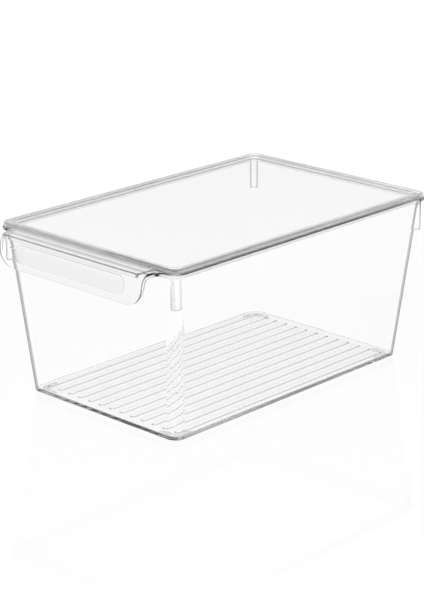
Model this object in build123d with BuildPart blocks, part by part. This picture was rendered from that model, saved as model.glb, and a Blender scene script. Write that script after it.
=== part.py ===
from build123d import *
import os

os.makedirs("parts", exist_ok=True)

# Clear fridge bin with a lift-off lid, all lengths in millimetres.
# X runs across the bin, Y runs along it with the handle at the -Y end, Z is up.
# The pieces are drawn about the middle of the bin's base and moved once, at export,
# so that the origin is the bottom centre of the whole object, handle included.

# ---- driving dimensions -------------------------------------------------------
FOOT_HEIGHT = 2.0            # the floor stands this far above the shelf
RIM_TOP = 148.7              # top face of the rim flange
LID_CLEARANCE = 0.1          # the lid's skirt stands this far above the rim flange
LID_TOP = 152.0              # top of the lid's raised border

BASE_HALF_X = 86.7           # outside of the side walls at floor level
BASE_HALF_Y = 142.3          # outside of the end walls at floor level
DRAFT = 0.0929               # the walls lean out this much for each mm of height
WALL = 2.2
FLOOR = 2.5
CORNER_RADIUS = 10.0         # outside of the upright corners, the same all the way up
BASE_EDGE_RADIUS = 1.0
INNER_EDGE_RADIUS = 1.5

FLANGE_HALF_X = 103.0
FLANGE_HALF_Y = 158.5
FLANGE_RADIUS = 9.0
FLANGE_THICK = 3.3
FLANGE_EDGE_RADIUS = 1.2

PIN_RADIUS = 4.2             # nesting stops, one on the wall under each corner of the flange
PIN_BOTTOM = 119.0
PIN_HALF_X = 95.9
PIN_HALF_Y = 150.6

RIB_COUNT = 13               # ribs moulded on the floor, along the bin
RIB_PITCH = 12.5
RIB_WIDTH = 6.2
RIB_LENGTH = 262.0
RIB_HEIGHT = 0.45
RIB_END_RADIUS = 2.6
RIB_SLOPE = 68.0             # how far the ribs' sides lean from upright, in degrees

HANDLE_HALF_LENGTH = 83.0
HANDLE_BOTTOM = 122.0
HANDLE_REACH = 175.0         # from the middle of the bin to the front of the handle
HANDLE_BULGE = 1.0           # how far the apron swells beyond that, half way down
HANDLE_BEND_RADIUS = 9.0     # shelf to apron
HANDLE_THICK = 2.0
HANDLE_END_RADIUS = 1.2      # rounding along the handle's two ends
HANDLE_LIP = 3.3             # depth of the thickened edge along each end
HANDLE_CORNER_RADIUS = 18.0  # lower corners of the apron
HANDLE_FLARE = 7.0           # radius of the hollow corners where the rim widens into the handle
HANDLE_ROOT = 155.0          # the handle starts inside the wall at this distance

GRIP_LENGTH = 127.0          # shallow pocket on the front of the apron
GRIP_HEIGHT = 14.7
GRIP_MIDDLE = 136.6
GRIP_RADIUS = 6.5
GRIP_DEPTH = 0.5
SPARE = 10.0                 # cutting shapes run this far past what they cut

LID_HALF_X = 102.0
LID_HALF_Y = 157.5
LID_RADIUS = 8.0
LID_EDGE_RADIUS = 0.7
BORDER_WIDTH = 7.6           # the raised band round the lid's flat panel
BORDER_THICK = 1.6
SKIRT_THICK = 1.8            # the band's outer edge, which stands on the rim
PANEL_RADIUS = 8.0
PANEL_EDGE_RADIUS = 0.6
PANEL_DROP = 1.8
PANEL_THICK = 2.0
LIP_HALF_X = 97.2            # the ring under the lid that centres it in the opening
LIP_HALF_Y = 152.8
LIP_RADIUS = 7.0
LIP_THICK = 1.6
LIP_DEPTH = 4.0
TAB_HALF_LENGTH = 79.5       # thumb tab of the lid, over the handle
TAB_REACH = 176.0
TAB_RADIUS = 4.0
TAB_EDGE_RADIUS = 0.6
TAB_LIP_THICK = 1.7          # the tab's front edge turns down
TAB_LIP_BOTTOM = 146.6

FOOT_HALF_X = 81.4           # outer edge of the corner feet
FOOT_HALF_Y = 137.0
FOOT_WIDTH = 5.0
FOOT_ARM = 19.0              # from the foot's virtual corner to the end of an arm
FOOT_BEND_RADIUS = 6.0
FOOT_EDGE_RADIUS = 0.4

NEAR = 0.01                  # faces and edges are picked out by their place to within this
CLEAR_OF = 1.0               # and those of neighbouring shapes are at least this far off


def wall_offset(height):
    """How far the leaning walls stand out, at a height, beyond their place at the floor."""
    return DRAFT * (height - FOOT_HEIGHT)


def wall_outline(height, inset, radius):
    """Rounded rectangle of the leaning walls at a height, moved in by inset."""
    grow = wall_offset(height) - inset
    with BuildSketch(Plane.XY.offset(height)) as outline:
        RectangleRounded(2 * (BASE_HALF_X + grow), 2 * (BASE_HALF_Y + grow), radius)
    return outline.sketch


# ---- handle: a shelf level with the rim that bends down into a grip apron -------
def handle_block(inset, half_length, end_radius):
    """Solid filling the handle's outside shape, moved in by inset."""
    top = RIM_TOP - inset
    front = -HANDLE_REACH + inset
    bend = HANDLE_BEND_RADIUS - inset
    below = HANDLE_BOTTOM - HANDLE_CORNER_RADIUS
    half_way = (top - bend + HANDLE_BOTTOM) / 2
    with BuildPart() as block:
        with BuildSketch(Plane.YZ):
            with BuildLine():
                shelf = Line((-HANDLE_ROOT, top), (front + bend, top))
                elbow = RadiusArc(shelf @ 1, (front, top - bend), -bend)
                apron = ThreePointArc(elbow @ 1, (front - HANDLE_BULGE, half_way), (front, HANDLE_BOTTOM))
                Polyline(apron @ 1, (front, below), (-HANDLE_ROOT, below), shelf @ 0)
            make_face()
        extrude(amount=half_length, both=True)
        if end_radius > 0:
            rounded = block.edges().filter_by(lambda e: abs(abs(e.center().X) - half_length) < NEAR)
            rounded = rounded.filter_by(lambda e: e.center().Z > below + CLEAR_OF)
            rounded = rounded.filter_by(lambda e: e.center().Y < -HANDLE_ROOT - CLEAR_OF)
            fillet(rounded, radius=end_radius)
    return block.part


handle_outside = handle_block(0, HANDLE_HALF_LENGTH, HANDLE_END_RADIUS)
handle_inside = handle_block(
    HANDLE_THICK, HANDLE_HALF_LENGTH - HANDLE_THICK, HANDLE_END_RADIUS - HANDLE_THICK
)
handle_hollow = handle_block(HANDLE_LIP, HANDLE_HALF_LENGTH + SPARE, 0)
grip_skin = handle_block(GRIP_DEPTH, HANDLE_HALF_LENGTH - GRIP_DEPTH, HANDLE_END_RADIUS - GRIP_DEPTH)

with BuildPart() as apron_outline:
    with BuildSketch(Plane.XZ.offset(HANDLE_ROOT)) as front_view:
        upper = RIM_TOP + SPARE
        with Locations((0, (upper + HANDLE_BOTTOM) / 2)):
            Rectangle(2 * HANDLE_HALF_LENGTH, upper - HANDLE_BOTTOM)
        fillet(front_view.vertices().group_by(Axis.Y)[0], radius=HANDLE_CORNER_RADIUS)
    extrude(amount=HANDLE_REACH - HANDLE_ROOT + SPARE)

with BuildPart() as grip_pocket:
    with BuildSketch(Plane.XZ.offset(HANDLE_REACH - HANDLE_BEND_RADIUS)):
        with Locations((0, GRIP_MIDDLE)):
            RectangleRounded(GRIP_LENGTH, GRIP_HEIGHT, GRIP_RADIUS)
    extrude(amount=HANDLE_BEND_RADIUS + SPARE)
    add(grip_skin, mode=Mode.SUBTRACT)

with BuildPart() as handle:
    add(handle_outside)
    add(handle_inside, mode=Mode.SUBTRACT)
    add(handle_hollow, mode=Mode.SUBTRACT)
    add(apron_outline.part, mode=Mode.INTERSECT)
    add(grip_pocket.part, mode=Mode.SUBTRACT)

# hollow corners that carry the edge of the rim flange round into the handle's ends
with BuildPart() as handle_flares:
    flare_x = HANDLE_HALF_LENGTH + HANDLE_FLARE
    flare_y = -FLANGE_HALF_Y - HANDLE_FLARE
    inner_x = HANDLE_HALF_LENGTH - HANDLE_THICK
    with BuildSketch(Plane.XY.offset(RIM_TOP - FLANGE_THICK)):
        for side in (-1, 1):
            with Locations((side * (inner_x + flare_x) / 2, (flare_y - HANDLE_ROOT) / 2)):
                Rectangle(flare_x - inner_x, -HANDLE_ROOT - flare_y)
        with Locations((-flare_x, flare_y), (flare_x, flare_y)):
            Circle(HANDLE_FLARE, mode=Mode.SUBTRACT)
    extrude(amount=FLANGE_THICK)
    flare_rims = handle_flares.edges().filter_by(GeomType.CIRCLE)
    fillet(flare_rims, radius=FLANGE_EDGE_RADIUS)

# ---- cavity: the space inside the leaning walls --------------------------------
with BuildPart() as cavity:
    floor_top = FOOT_HEIGHT + FLOOR
    add(wall_outline(floor_top, WALL, CORNER_RADIUS - WALL))
    add(wall_outline(RIM_TOP, WALL, CORNER_RADIUS - WALL))
    loft(ruled=True)
    fillet(cavity.faces().sort_by(Axis.Z)[0].edges(), radius=INNER_EDGE_RADIUS)

# ---- bin body ------------------------------------------------------------------
with BuildPart() as bin_body:
    add(wall_outline(FOOT_HEIGHT, 0, CORNER_RADIUS))
    add(wall_outline(RIM_TOP, 0, CORNER_RADIUS))
    loft(ruled=True)
    fillet(bin_body.faces().sort_by(Axis.Z)[0].edges(), radius=BASE_EDGE_RADIUS)

    # rim flange, with both of its outer edges rounded
    with BuildSketch(Plane.XY.offset(RIM_TOP - FLANGE_THICK)):
        RectangleRounded(2 * FLANGE_HALF_X, 2 * FLANGE_HALF_Y, FLANGE_RADIUS)
    extrude(amount=FLANGE_THICK)
    flange_sides = bin_body.faces().filter_by(
        lambda f: abs(f.center().X) > FLANGE_HALF_X - FLANGE_RADIUS / 2
        or abs(f.center().Y) > FLANGE_HALF_Y - FLANGE_RADIUS / 2
    )
    flange_sides = flange_sides.filter_by(
        lambda f: abs(f.center().Z - (RIM_TOP - FLANGE_THICK / 2)) < NEAR
    )
    flange_rims = flange_sides.edges().filter_by(
        lambda e: abs(abs(e.center().Z - (RIM_TOP - FLANGE_THICK / 2)) - FLANGE_THICK / 2) < NEAR
    )
    fillet(flange_rims, radius=FLANGE_EDGE_RADIUS)

    # nesting stops
    with BuildSketch(Plane.XY.offset(PIN_BOTTOM)):
        with GridLocations(2 * PIN_HALF_X, 2 * PIN_HALF_Y, 2, 2):
            Circle(PIN_RADIUS)
    extrude(amount=RIM_TOP - FLANGE_THICK / 2 - PIN_BOTTOM)

    add(handle.part)
    add(handle_flares.part)
    add(cavity.part, mode=Mode.SUBTRACT)

with BuildPart() as floor_ribs:
    with BuildSketch(Plane.XY.offset(FOOT_HEIGHT + FLOOR)):
        with GridLocations(RIB_PITCH, 0, RIB_COUNT, 1):
            RectangleRounded(RIB_WIDTH, RIB_LENGTH, RIB_END_RADIUS)
    extrude(amount=RIB_HEIGHT, taper=RIB_SLOPE)

with BuildPart() as ribbed_body:
    add(bin_body.part)
    add(floor_ribs.part)

# ---- lid -----------------------------------------------------------------------
def lid_ring(outer_x, outer_y, outer_radius, thick):
    """Sketch shapes of a rounded rectangular ring, for use inside a BuildSketch."""
    RectangleRounded(2 * outer_x, 2 * outer_y, outer_radius)
    RectangleRounded(
        2 * (outer_x - thick), 2 * (outer_y - thick), outer_radius - thick, mode=Mode.SUBTRACT
    )


lid_bottom = RIM_TOP + LID_CLEARANCE
panel_top = LID_TOP - PANEL_DROP
with BuildPart() as lid:
    with BuildSketch(Plane.XY.offset(lid_bottom)):
        RectangleRounded(2 * LID_HALF_X, 2 * LID_HALF_Y, LID_RADIUS)
    extrude(amount=LID_TOP - lid_bottom)
    fillet(lid.faces().sort_by(Axis.Z)[-1].edges(), radius=LID_EDGE_RADIUS)

    # thumb tab over the handle, with its front edge turned down
    with BuildSketch(Plane.XY.offset(TAB_LIP_BOTTOM)):
        with Locations((0, (-TAB_REACH - LID_HALF_Y + SKIRT_THICK) / 2)):
            tab = Rectangle(2 * TAB_HALF_LENGTH, TAB_REACH - LID_HALF_Y + SKIRT_THICK)
        fillet(tab.vertices().group_by(Axis.Y)[0], radius=TAB_RADIUS)
    extrude(amount=panel_top - TAB_LIP_BOTTOM)
    tab_rim = lid.edges().filter_by(
        lambda e: abs(e.center().Z - panel_top) < NEAR and e.center().Y < -LID_HALF_Y - CLEAR_OF
    )
    fillet(tab_rim, radius=TAB_EDGE_RADIUS)
    with BuildSketch(Plane.XY.offset(TAB_LIP_BOTTOM)):
        tab_depth = TAB_REACH - TAB_LIP_THICK - HANDLE_ROOT
        with Locations((0, -TAB_REACH + TAB_LIP_THICK + tab_depth / 2)):
            Rectangle(2 * TAB_HALF_LENGTH + SPARE, tab_depth)
    extrude(amount=lid_bottom - TAB_LIP_BOTTOM, mode=Mode.SUBTRACT)

    # panel: set down inside the raised border
    with BuildSketch(Plane.XY.offset(panel_top)):
        RectangleRounded(2 * (LID_HALF_X - BORDER_WIDTH), 2 * (LID_HALF_Y - BORDER_WIDTH), PANEL_RADIUS)
    extrude(amount=SPARE, mode=Mode.SUBTRACT)
    step_x = LID_HALF_X - LID_EDGE_RADIUS - CLEAR_OF
    step_y = LID_HALF_Y - LID_EDGE_RADIUS - CLEAR_OF
    border_top = lid.faces().filter_by(lambda f: abs(f.center().Z - LID_TOP) < NEAR)
    step_edges = border_top.edges().filter_by(
        lambda e: abs(e.center().X) < step_x and abs(e.center().Y) < step_y
    )
    fillet(step_edges, radius=PANEL_EDGE_RADIUS)
    with BuildSketch(Plane.XY.offset(panel_top - PANEL_THICK)):
        RectangleRounded(2 * LIP_HALF_X, 2 * LIP_HALF_Y, LIP_RADIUS)
    extrude(amount=PANEL_THICK)

    # the border is hollow underneath, between the skirt and the centring ring
    with BuildSketch(Plane.XY.offset(lid_bottom)):
        RectangleRounded(
            2 * (LID_HALF_X - SKIRT_THICK), 2 * (LID_HALF_Y - SKIRT_THICK), LID_RADIUS - SKIRT_THICK
        )
        RectangleRounded(2 * LIP_HALF_X, 2 * LIP_HALF_Y, LIP_RADIUS, mode=Mode.SUBTRACT)
    extrude(amount=LID_TOP - BORDER_THICK - lid_bottom, mode=Mode.SUBTRACT)

    # centring ring
    with BuildSketch(Plane.XY.offset(RIM_TOP - LIP_DEPTH)):
        lid_ring(LIP_HALF_X, LIP_HALF_Y, LIP_RADIUS, LIP_THICK)
    extrude(amount=panel_top - RIM_TOP + LIP_DEPTH)


# ---- feet: an L-shaped anti-slip pad under each corner ---------------------------
def corner_foot(side_x, side_y):
    """Foot under the corner at (side_x, side_y), each +1 or -1."""
    line_x = side_x * (FOOT_HALF_X - FOOT_WIDTH / 2)
    line_y = side_y * (FOOT_HALF_Y - FOOT_WIDTH / 2)
    arm_x = side_x * (FOOT_HALF_X - FOOT_ARM + FOOT_WIDTH / 2)
    arm_y = side_y * (FOOT_HALF_Y - FOOT_ARM + FOOT_WIDTH / 2)
    with BuildPart() as foot:
        with BuildSketch():
            with BuildLine():
                FilletPolyline((arm_x, line_y), (line_x, line_y), (line_x, arm_y), radius=FOOT_BEND_RADIUS)
                offset(amount=FOOT_WIDTH / 2, side=Side.BOTH)
            make_face()
        extrude(amount=FOOT_HEIGHT)
        fillet(foot.faces().sort_by(Axis.Z)[0].edges(), radius=FOOT_EDGE_RADIUS)
    return foot.part


# ---- place the pieces and write them ---------------------------------------------
def write_piece(piece, name):
    """Move a finished piece so that the origin is the object's bottom centre, and export it."""
    front = HANDLE_REACH + HANDLE_BULGE
    placed = piece.moved(Location((0, (front - FLANGE_HALF_Y) / 2, 0)))
    placed.label = name
    export_step(placed, f"parts/{name}.step")


write_piece(ribbed_body.part, "bin_body")
write_piece(lid.part, "lid")
for end_name, side_y in (("front", -1), ("rear", 1)):
    for side_name, side_x in (("left", -1), ("right", 1)):
        write_piece(corner_foot(side_x, side_y), f"foot_{end_name}_{side_name}")
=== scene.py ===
import math

import bpy
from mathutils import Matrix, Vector


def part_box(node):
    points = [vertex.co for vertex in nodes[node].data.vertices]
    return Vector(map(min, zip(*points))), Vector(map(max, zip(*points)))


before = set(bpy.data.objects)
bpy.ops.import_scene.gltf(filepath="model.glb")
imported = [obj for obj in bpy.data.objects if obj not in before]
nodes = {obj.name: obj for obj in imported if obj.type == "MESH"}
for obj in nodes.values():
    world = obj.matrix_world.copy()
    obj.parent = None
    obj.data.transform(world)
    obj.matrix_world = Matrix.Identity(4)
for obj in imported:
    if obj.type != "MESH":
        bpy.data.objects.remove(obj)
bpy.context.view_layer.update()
scene = bpy.context.scene

# ---- sizes in metres, camera angles in degrees -----------------------------------
CAMERA_AZIMUTH = 43.32
CAMERA_ELEVATION = 18.67
CAMERA_DISTANCE = 1.7387
CAMERA_TARGET = Vector((-0.0178, 0.0193, 0.0609))
CAMERA_LENS = 118.9

FLANGE_HALF_LENGTH = 0.1585  # rim flange, from its middle to its end
RIM_DEPTH = 0.0037  # rim top to just under the flange
FLOOR_THICK = 0.0025
BASE_HALF_X = 0.083  # the bottom edge lies outside this rectangle
BASE_HALF_Y = 0.139
PIN_INSET_X = 0.0071  # pin axis, in from the flange's edges
PIN_INSET_Y = 0.0079
PIN_RADIUS = 0.0042
PIN_DROP = 0.0299  # rim top to just under the pins
GRIP_HALF_LENGTH = 0.0635
GRIP_HALF_HEIGHT = 0.00735
GRIP_DROP = 0.0121  # rim top to the middle of the grip
GRIP_BEHIND = 0.0025  # the grip is frosted this far back from the handle's front
RIB_PITCH = 0.0125
RIB_SLOPE_PLACE = 0.0026  # rib sides and the hollows beside them, from the rib's middle
# a painted shade line on the floor beside each rib's foot, from the rib's middle
RIB_FOOT_PLACE = -0.00365
RIB_LINE_HALF = 0.0009
RIB_HALF_LENGTH = 0.1305
RIB_FADE = 0.004
RIB_TOP_ROOM = 0.0006  # rib lines are kept to this much above and below the floor
BORDER_WIDTH = 0.0076  # the lid's raised border
GROOVE_WIDTH = 0.0012
EDGE_BLUR = 0.0006  # width over which masks fade in
FLOOR_SIZE = 12.0
FLOOR_DROP = 0.0002  # the studio floor is this far under the feet

# ---- look ------------------------------------------------------------------------
PLASTIC_IOR = 1.5
BODY_TINT = (0.997, 0.998, 0.998)
# painted shade: the colour that the clear plastic is darkened towards at its edges, pin edges and
# floor rib lines
BODY_PAINTED_SHADE = (0.3, 0.31, 0.31)
LID_TINT = (0.995, 0.996, 0.996)
# painted shade: the colour that the lid is darkened towards at its edges and in the groove by the
# tab
LID_PAINTED_SHADE = (0.5, 0.5, 0.5)
# painted shade on upright faces turned away from the viewer, by Layer Weight facing
EDGE_START = 0.42  # Layer Weight facing where upright faces start to darken, and end
EDGE_END = 0.8
# painted shade on the pins' edges, by Layer Weight facing
PIN_EDGE_START = 0.05
PIN_EDGE_END = 0.45
PIN_SHADE = 0.45
RIB_SHADE = 0.22
GROOVE_SHADE = 0.8
SMUDGE_ROUGHNESS = 0.03
GRIP_ROUGHNESS = 0.18
RIM_ROUGHNESS = 0.05
RIB_ROUGHNESS = 0.2
BORDER_ROUGHNESS = 0.1
TAB_ROUGHNESS = 0.03
BORDER_THROUGH = 0.3  # share of the light that goes straight through
BASE_THROUGH = 0.25
WAVE_SCALE = 9.0
WAVE_HEIGHT = 0.00012
FOOT_IOR = 1.42
FOOT_TRANSMISSION = 0.75
FOOT_DARK = (0.86, 0.87, 0.88)
FOOT_PALE = (0.96, 0.96, 0.97)
FOOT_THROUGH = (0.95, 0.955, 0.96)
WHITE = 1.25  # what the camera sees: the backdrop, and the floor close by
FLOOR_WHITE = 1.06
BACKLIGHT = 1.2  # what clear plastic lets through, and less overhead and to the sides
OVERHEAD = 0.6
SIDELIGHT = 0.9
ROOM_FAR = 1.0  # what clear plastic reflects: behind the object and behind the camera
ROOM_NEAR = 0.5
FLOOR_FAR = 0.85
FLOOR_NEAR = 0.5
FLOOR_IOR = 1.5
FLOOR_ROUGHNESS = 0.04
MOST_GLOSS = 0.19

body_low, body_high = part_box("bin_body")
lid_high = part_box("lid")[1]
rim_middle = body_high.y - FLANGE_HALF_LENGTH
rim_bottom = body_high.z - RIM_DEPTH
floor_top = body_low.z + FLOOR_THICK
lid_half_x = lid_high.x
lid_half_y = lid_high.y - rim_middle

# ---- helpers that add nodes and hand back their output sockets -----------------------


def new_material(name):
    material = bpy.data.materials.new(name)
    material.use_nodes = True
    material.node_tree.nodes.clear()
    return material, material.node_tree


def add_node(tree, kind, **settings):
    node = tree.nodes.new(kind)
    for key, value in settings.items():
        setattr(node, key, value)
    return node


def set_inputs(node, **values):
    for key, value in values.items():
        node.inputs[key.replace("_", " ")].default_value = value


def give(name, material):
    mesh_object = nodes[name]
    mesh_object.data.materials.clear()
    mesh_object.data.materials.append(material)


def math_value(tree, operation, first, second=None):
    """Result of a Math node; each input is a socket or a number."""
    node = add_node(tree, "ShaderNodeMath", operation=operation)
    for value, socket in zip((first, second), node.inputs):
        if isinstance(value, (int, float)):
            socket.default_value = value
        elif value is not None:
            tree.links.new(value, socket)
    return node.outputs[0]


def product(tree, *factors):
    result = factors[0]
    for factor in factors[1:]:
        result = math_value(tree, "MULTIPLY", result, factor)
    return result


def dot_with(tree, source, direction):
    dot = add_node(tree, "ShaderNodeVectorMath", operation="DOT_PRODUCT")
    tree.links.new(source, dot.inputs[0])
    dot.inputs[1].default_value = direction
    return dot.outputs["Value"]


def vector_length(tree, vector):
    length = add_node(tree, "ShaderNodeVectorMath", operation="LENGTH")
    tree.links.new(vector, length.inputs[0])
    return length.outputs["Value"]


def smooth_step(tree, source, start, end, low, high):
    """Goes smoothly from low to high as source goes from start to end."""
    step = add_node(tree, "ShaderNodeMapRange", interpolation_type="SMOOTHSTEP")
    tree.links.new(source, step.inputs["Value"])
    set_inputs(step, From_Min=start, From_Max=end, To_Min=low, To_Max=high)
    return step.outputs["Result"]


def mix_numbers(tree, factor, first, second):
    """First where factor is 0, second where it is 1; second may be a plain number."""
    mix = add_node(tree, "ShaderNodeMix", data_type="FLOAT")
    tree.links.new(factor, mix.inputs["Factor"])
    tree.links.new(first, mix.inputs["A"])
    if isinstance(second, float):
        mix.inputs["B"].default_value = second
    else:
        tree.links.new(second, mix.inputs["B"])
    return mix.outputs["Result"]


def mix_colours(tree, factor, first, second):
    """From the colour first to the colour second."""
    mix = add_node(tree, "ShaderNodeMix", data_type="RGBA")
    tree.links.new(factor, mix.inputs["Factor"])
    mix.inputs["A"].default_value = (*first, 1)
    mix.inputs["B"].default_value = (*second, 1)
    return mix.outputs["Result"]


def mix_shaders(tree, factor, first, second):
    mix = add_node(tree, "ShaderNodeMixShader")
    tree.links.new(factor, mix.inputs[0])
    tree.links.new(first.outputs[0], mix.inputs[1])
    tree.links.new(second.outputs[0], mix.inputs[2])
    return mix


def see_through(tree, colour):
    through = add_node(tree, "ShaderNodeBsdfTransparent")
    through.inputs["Color"].default_value = (*colour, 1)
    return through


def object_axis(tree, axis):
    """X, Y or Z of the shaded point, in the object's own coordinates."""
    split = add_node(tree, "ShaderNodeSeparateXYZ")
    tree.links.new(object_position(tree), split.inputs[0])
    return split.outputs[axis]


def object_position(tree):
    return add_node(tree, "ShaderNodeTexCoord").outputs["Object"]


def noise(tree, scale, **settings):
    texture = add_node(tree, "ShaderNodeTexNoise")
    tree.links.new(object_position(tree), texture.inputs["Vector"])
    set_inputs(texture, Scale=scale, **settings)
    return texture.outputs["Fac"]


def add_bump(tree, shader, height, strength, distance):
    bump = add_node(tree, "ShaderNodeBump")
    set_inputs(bump, Strength=strength, Distance=distance)
    tree.links.new(height, bump.inputs["Height"])
    tree.links.new(bump.outputs["Normal"], shader.inputs["Normal"])


# ---- masks: 1 on a part of the object, 0 elsewhere --------------------------------


def along_rim(tree):
    """Y measured from the middle of the rim."""
    return math_value(tree, "SUBTRACT", object_axis(tree, "Y"), rim_middle)


def outside_of(tree, half_x, half_y):
    """Outside a rectangle about the middle of the rim."""
    across = math_value(tree, "ABSOLUTE", object_axis(tree, "X"))
    along = math_value(tree, "ABSOLUTE", along_rim(tree))
    beside = smooth_step(tree, across, half_x - EDGE_BLUR, half_x, 0.0, 1.0)
    beyond = smooth_step(tree, along, half_y - EDGE_BLUR, half_y, 0.0, 1.0)
    return math_value(tree, "MAXIMUM", beside, beyond)


def on_pins(tree):
    """On the four pins under the rim, by distance from their axes."""
    pin_x = body_high.x - PIN_INSET_X
    pin_y = FLANGE_HALF_LENGTH - PIN_INSET_Y
    pin_low = body_high.z - PIN_DROP
    fade = 0.0002
    across = math_value(tree, "ABSOLUTE", object_axis(tree, "X"))
    along = math_value(tree, "ABSOLUTE", along_rim(tree))
    away = add_node(tree, "ShaderNodeCombineXYZ")
    tree.links.new(math_value(tree, "SUBTRACT", across, pin_x), away.inputs["X"])
    tree.links.new(math_value(tree, "SUBTRACT", along, pin_y), away.inputs["Y"])
    distance = vector_length(tree, away.outputs[0])
    height = object_axis(tree, "Z")
    return product(
        tree,
        smooth_step(tree, distance, PIN_RADIUS, PIN_RADIUS * 1.1, 1.0, 0.0),
        smooth_step(tree, height, pin_low, pin_low + fade, 0.0, 1.0),
        smooth_step(tree, height, rim_bottom, rim_bottom + fade, 1.0, 0.0),
    )


def rib_lines(tree, place_on_rib):
    """Along each floor rib, on a line at a distance from the rib's middle."""
    wrap = add_node(tree, "ShaderNodeMath", operation="WRAP")
    tree.links.new(object_axis(tree, "X"), wrap.inputs[0])
    wrap.inputs[1].default_value = RIB_PITCH / 2
    wrap.inputs[2].default_value = -RIB_PITCH / 2
    off = math_value(tree, "SUBTRACT", wrap.outputs[0], place_on_rib)
    off = math_value(tree, "ABSOLUTE", off)
    height = object_axis(tree, "Z")
    low = floor_top - RIB_TOP_ROOM
    high = floor_top + RIB_TOP_ROOM
    along = math_value(tree, "ABSOLUTE", along_rim(tree))
    return product(
        tree,
        smooth_step(tree, off, RIB_LINE_HALF / 3, RIB_LINE_HALF, 1.0, 0.0),
        smooth_step(tree, height, high, high + 0.0004, 1.0, 0.0),
        smooth_step(tree, height, low, low + 0.0003, 0.0, 1.0),
        smooth_step(tree, along, RIB_HALF_LENGTH - RIB_FADE, RIB_HALF_LENGTH, 1.0, 0.0),
    )


def on_grip(tree):
    """On the shallow pocket on the front of the handle."""
    grip_middle = body_high.z - GRIP_DROP
    behind = body_low.y + GRIP_BEHIND
    fade = 0.001
    across = math_value(tree, "ABSOLUTE", object_axis(tree, "X"))
    up = math_value(tree, "SUBTRACT", object_axis(tree, "Z"), grip_middle)
    up = math_value(tree, "ABSOLUTE", up)
    return product(
        tree,
        smooth_step(tree, across, GRIP_HALF_LENGTH - fade, GRIP_HALF_LENGTH, 1.0, 0.0),
        smooth_step(tree, up, GRIP_HALF_HEIGHT - fade, GRIP_HALF_HEIGHT, 1.0, 0.0),
        smooth_step(tree, object_axis(tree, "Y"), behind + 0.0015, behind, 0.0, 1.0),
    )


def in_groove(tree):
    """In the narrow strip where the tab meets the lid's raised border, which gets painted shade."""
    along = along_rim(tree)
    fade = 0.0001
    return product(
        tree,
        smooth_step(tree, along, -lid_half_y - fade, -lid_half_y + fade, 1.0, 0.0),
        smooth_step(tree, along, -lid_half_y - GROOVE_WIDTH, -lid_half_y, 0.0, 1.0),
    )


# ---- clear plastic ---------------------------------------------------------------


def painted_edge_shade(tree):
    """Painted shade: 1 on upright surfaces that are turned away from the viewer, 0 elsewhere; it
    darkens the plastic's colour to draw its edges.
    """
    turned = smooth_step(tree, facing_away(tree), EDGE_START, EDGE_END, 0.0, 1.0)
    return product(tree, turned, upright(tree))


def facing_away(tree):
    facing = add_node(tree, "ShaderNodeLayerWeight")
    facing.inputs["Blend"].default_value = 0.5
    return facing.outputs["Facing"]


def upright(tree):
    """1 on upright surfaces, 0 on level ones."""
    split = add_node(tree, "ShaderNodeSeparateXYZ")
    normal = add_node(tree, "ShaderNodeNewGeometry").outputs["True Normal"]
    tree.links.new(normal, split.inputs[0])
    steepness = math_value(tree, "ABSOLUTE", split.outputs["Z"])
    return smooth_step(tree, steepness, 0.25, 0.6, 1.0, 0.0)


def clear_plastic(name):
    """Clear shader with long soft waves, as no moulded surface is quite flat, and smudges.
    Hands back the material, its tree, its shader and the roughness of its smudges."""
    material, tree = new_material(name)
    out = add_node(tree, "ShaderNodeOutputMaterial")
    shader = add_node(tree, "ShaderNodeBsdfPrincipled")
    set_inputs(shader, IOR=PLASTIC_IOR, Transmission_Weight=1.0)
    add_bump(tree, shader, noise(tree, WAVE_SCALE, Detail=2.0, Roughness=0.4), 1.0, WAVE_HEIGHT)
    smudges = noise(tree, 30.0, Detail=4.0)
    roughness = smooth_step(tree, smudges, 0.45, 0.7, 0.0, SMUDGE_ROUGHNESS)
    tree.links.new(shader.outputs[0], out.inputs["Surface"])
    return material, tree, shader, roughness


def let_through(tree, shader, share):
    """A share of the light goes straight through, where the edges would be black."""
    out = next(node for node in tree.nodes if node.bl_idname == "ShaderNodeOutputMaterial")
    mixed = mix_shaders(tree, share, shader, see_through(tree, (0.99, 0.99, 0.99)))
    tree.links.new(mixed.outputs[0], out.inputs["Surface"])


def bin_plastic():
    material, tree, shader, roughness = clear_plastic("clear_plastic")
    # painted shade darkens the pins' edges
    pin_painted_shade = smooth_step(tree, facing_away(tree), PIN_EDGE_START, PIN_EDGE_END, 0.0, PIN_SHADE)
    pin_painted_shade = product(tree, pin_painted_shade, on_pins(tree), upright(tree))
    # painted shade: a dark line on the floor beside each rib
    rib_painted_shade = math_value(tree, "MULTIPLY", rib_lines(tree, RIB_FOOT_PLACE), RIB_SHADE)
    # painted shade on edges, pin edges and floor rib lines darkens the plastic's colour
    painted_shade = math_value(tree, "MAXIMUM", painted_edge_shade(tree), pin_painted_shade)
    painted_shade = math_value(tree, "MAXIMUM", painted_shade, rib_painted_shade)
    tree.links.new(mix_colours(tree, painted_shade, BODY_TINT, BODY_PAINTED_SHADE), shader.inputs["Base Color"])

    height = object_axis(tree, "Z")
    at_rim = smooth_step(tree, height, rim_bottom, rim_bottom + 0.0004, 0.0, RIM_ROUGHNESS)
    at_base = product(
        tree,
        smooth_step(tree, height, floor_top, floor_top + 0.0004, 1.0, 0.0),
        outside_of(tree, BASE_HALF_X, BASE_HALF_Y),
        BASE_THROUGH,
    )
    let_through(tree, shader, at_base)
    rib_rough = math_value(tree, "MULTIPLY", rib_lines(tree, RIB_SLOPE_PLACE), RIB_ROUGHNESS)
    frosted = math_value(tree, "MULTIPLY", on_grip(tree), GRIP_ROUGHNESS)
    for rough in (rib_rough, at_rim, frosted):
        roughness = math_value(tree, "MAXIMUM", roughness, rough)
    tree.links.new(roughness, shader.inputs["Roughness"])
    return material


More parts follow.
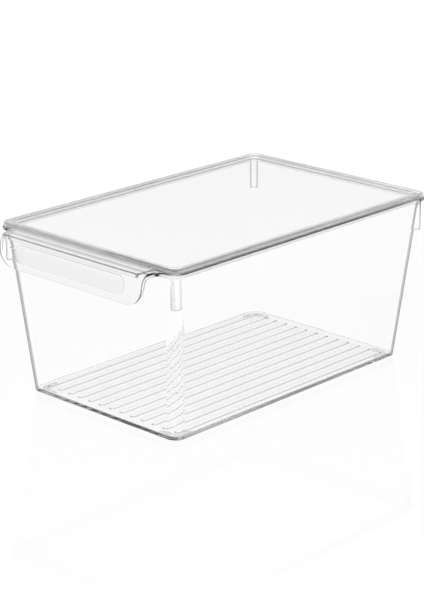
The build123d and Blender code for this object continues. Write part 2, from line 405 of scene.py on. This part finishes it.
def lid_plastic():
    """The lid's raised border and thumb tab are less polished than its panel."""
    material, tree, shader, roughness = clear_plastic("clear_lid")
    # painted shade: a dark strip where the tab meets the raised border
    groove_painted_shade = math_value(tree, "MULTIPLY", in_groove(tree), GROOVE_SHADE)
    # painted shade on edges and in the groove darkens the lid's colour
    painted_shade = math_value(tree, "MAXIMUM", painted_edge_shade(tree), groove_painted_shade)
    tree.links.new(mix_colours(tree, painted_shade, LID_TINT, LID_PAINTED_SHADE), shader.inputs["Base Color"])

    border = outside_of(tree, lid_half_x - BORDER_WIDTH, lid_half_y - BORDER_WIDTH)
    on_tab = smooth_step(tree, along_rim(tree), -lid_half_y - 0.0002, -lid_half_y, 1.0, 0.0)
    border_rough = smooth_step(tree, on_tab, 0.0, 1.0, BORDER_ROUGHNESS, TAB_ROUGHNESS)
    border_rough = product(tree, border, border_rough)
    tree.links.new(math_value(tree, "MAXIMUM", roughness, border_rough), shader.inputs["Roughness"])
    border_through = smooth_step(tree, on_tab, 0.0, 1.0, BORDER_THROUGH, 0.0)
    let_through(tree, shader, product(tree, border, border_through))
    return material


def foot_rubber():
    """Cloudy, mostly see-through, with a fine moulded grain."""
    material, tree = new_material("foot_rubber")
    out = add_node(tree, "ShaderNodeOutputMaterial")
    shader = add_node(tree, "ShaderNodeBsdfPrincipled")
    set_inputs(shader, IOR=FOOT_IOR, Transmission_Weight=FOOT_TRANSMISSION)
    grain = noise(tree, 900.0, Detail=3.0, Roughness=0.6)
    cloud = noise(tree, 140.0, Detail=2.0)
    tree.links.new(mix_colours(tree, cloud, FOOT_DARK, FOOT_PALE), shader.inputs["Base Color"])
    tree.links.new(smooth_step(tree, grain, 0.3, 0.7, 0.3, 0.5), shader.inputs["Roughness"])
    add_bump(tree, shader, grain, 0.6, 0.00005)
    solid = smooth_step(tree, cloud, 0.3, 0.7, 0.15, 0.35)
    mixed = mix_shaders(tree, solid, see_through(tree, FOOT_THROUGH), shader)
    tree.links.new(mixed.outputs[0], out.inputs["Surface"])
    return material


give("bin_body", bin_plastic())
give("lid", lid_plastic())
foot_material = foot_rubber()
for node_name in nodes:
    if node_name.startswith("foot"):
        give(node_name, foot_material)

# ---- studio ----------------------------------------------------------------------
# The camera sees a plain white floor and backdrop. What the clear plastic lets through
# is a lit sweep, dimmer overhead and to the sides; what it reflects is dimmer still
# towards the camera, which draws its edges.
azimuth = math.radians(CAMERA_AZIMUTH)
elevation = math.radians(CAMERA_ELEVATION)
ahead = Vector((-math.sin(azimuth), math.cos(azimuth), 0.0))
right = Vector((math.cos(azimuth), math.sin(azimuth), 0.0))


def studio_light(tree, light, seen, straight, mirrored):
    """Strength of an emission or background node: seen by the camera, straight through
    the clear walls, and mirrored by them."""
    path = add_node(tree, "ShaderNodeLightPath")
    reflected = math_value(tree, "GREATER_THAN", path.outputs["Glossy Depth"], 0.5)
    through_plastic = mix_numbers(tree, reflected, straight, mirrored)
    strength = mix_numbers(tree, path.outputs["Is Camera Ray"], through_plastic, seen)
    tree.links.new(strength, light.inputs["Strength"])


def build_floor():
    bpy.ops.mesh.primitive_plane_add(size=FLOOR_SIZE, location=(0, 0, -FLOOR_DROP))
    floor = bpy.context.object
    floor.name = "floor"
    material, tree = new_material("floor_white")
    out = add_node(tree, "ShaderNodeOutputMaterial")
    fresnel = add_node(tree, "ShaderNodeFresnel")
    fresnel.inputs["IOR"].default_value = FLOOR_IOR
    glow = add_node(tree, "ShaderNodeEmission")
    gloss = add_node(tree, "ShaderNodeBsdfGlossy")
    gloss.inputs["Roughness"].default_value = FLOOR_ROUGHNESS
    place = object_position(tree)
    sideways = math_value(tree, "ABSOLUTE", dot_with(tree, place, right))
    lit = smooth_step(tree, sideways, 0.5, 2.0, BACKLIGHT, SIDELIGHT)
    dim = smooth_step(tree, dot_with(tree, place, ahead), -0.5, 1.5, FLOOR_NEAR, FLOOR_FAR)
    seen = smooth_step(tree, vector_length(tree, place), 0.3, 1.3, FLOOR_WHITE, WHITE)
    studio_light(tree, glow, seen, lit, dim)
    share = math_value(tree, "MINIMUM", fresnel.outputs[0], MOST_GLOSS)
    tree.links.new(mix_shaders(tree, share, glow, gloss).outputs[0], out.inputs["Surface"])
    floor.data.materials.append(material)


def build_world():
    world = bpy.data.worlds.new("studio")
    scene.world = world
    world.use_nodes = True
    tree = world.node_tree
    tree.nodes.clear()
    out = add_node(tree, "ShaderNodeOutputWorld")
    background = add_node(tree, "ShaderNodeBackground")
    direction = add_node(tree, "ShaderNodeTexCoord").outputs["Generated"]
    upwards = dot_with(tree, direction, (0, 0, 1))
    lit = smooth_step(tree, upwards, 0.2, 0.9, BACKLIGHT, OVERHEAD)
    dim = product(
        tree,
        smooth_step(tree, upwards, 0.25, 0.9, 1.0, OVERHEAD),
        smooth_step(tree, dot_with(tree, direction, ahead), 0.7, -0.3, ROOM_FAR, ROOM_NEAR),
    )
    studio_light(tree, background, WHITE, lit, dim)
    tree.links.new(background.outputs[0], out.inputs["Surface"])


def build_camera():
    back = math.sin(elevation) * Vector((0, 0, 1)) - math.cos(elevation) * ahead
    camera_data = bpy.data.cameras.new("camera")
    camera = bpy.data.objects.new("camera", camera_data)
    scene.collection.objects.link(camera)
    camera_data.lens = CAMERA_LENS
    camera.location = CAMERA_TARGET + back * CAMERA_DISTANCE
    camera.rotation_mode = "QUATERNION"
    camera.rotation_quaternion = (-back).to_track_quat("-Z", "Y")
    scene.camera = camera


build_floor()
build_world()
build_camera()
scene.view_settings.view_transform = "Standard"
scene.cycles.max_bounces = 48  # light crosses many clear surfaces in the rim
scene.cycles.transmission_bounces = 48
scene.cycles.glossy_bounces = 24
